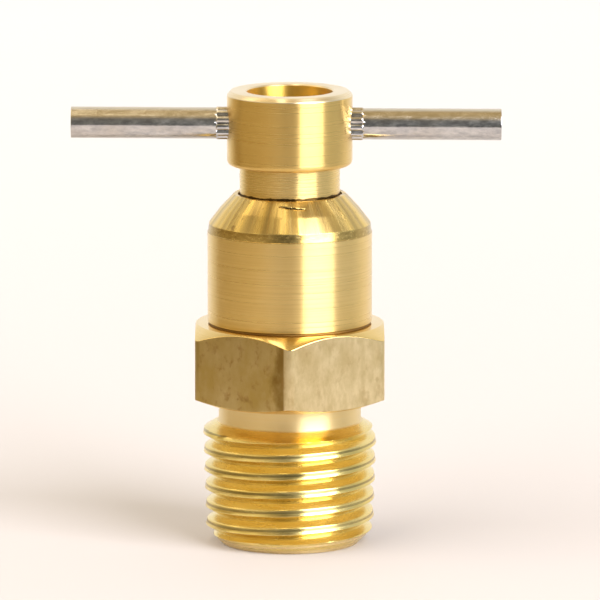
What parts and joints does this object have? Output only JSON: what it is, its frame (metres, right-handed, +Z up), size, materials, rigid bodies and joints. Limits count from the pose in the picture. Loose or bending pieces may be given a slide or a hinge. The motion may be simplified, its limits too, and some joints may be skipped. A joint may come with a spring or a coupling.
{
  "type": "needle valve",
  "caption": "Miniature brass needle valve with a tapered male inlet thread, a hexagon, a swaged barrel, a hollow screwed stem and a steel T handle.",
  "frame": {"origin": "centre of the inlet bore at the body's bottom end face", "axes": "+Z up the stem from the inlet to the outlet, X along the handle at rest, -Y towards a corner of the hexagon"},
  "size_m": [0.0325, 0.0162, 0.0346],
  "materials": {
    "body_brass": "turned and drawn brass, satin, with fine turning lines on the barrel and bare bar stock on the flats",
    "stem_brass": "smooth turned brass, semi-polished",
    "pin_steel": "drawn steel wire, bare, lightly mottled",
    "needle_steel": "ground stainless steel",
    "seat_plastic": "white PTFE, matte",
    "seal_rubber": "black nitrile rubber, matte"
  },
  "bodies": {
    "valve_body": {"valve_body": "body_brass", "seat_insert": "seat_plastic", "wiper_ring": "seal_rubber"},
    "seal_set": {"stem_o_ring": "seal_rubber", "backup_ring_lower": "seat_plastic", "backup_ring_upper": "seat_plastic"},
    "stem": {"stem": "stem_brass", "needle_tip": "needle_steel", "handle_pin": "pin_steel"}
  },
  "joints": [
    {"name": "stem_lift", "type": "slide", "parent": "valve_body", "child": "seal_set", "axis": [0, 0, 1], "range_m": [0, 0.00212]},
    {"name": "stem_turn", "type": "hinge", "parent": "seal_set", "child": "stem", "pos_m": [0, 0, 0.0175], "axis": [0, 0, 1], "range_deg": [0, 720]}
  ],
  "couplings": [
    {"joint": "stem_turn", "follows": "stem_lift", "rad_per_m": 5936.9}
  ]
}
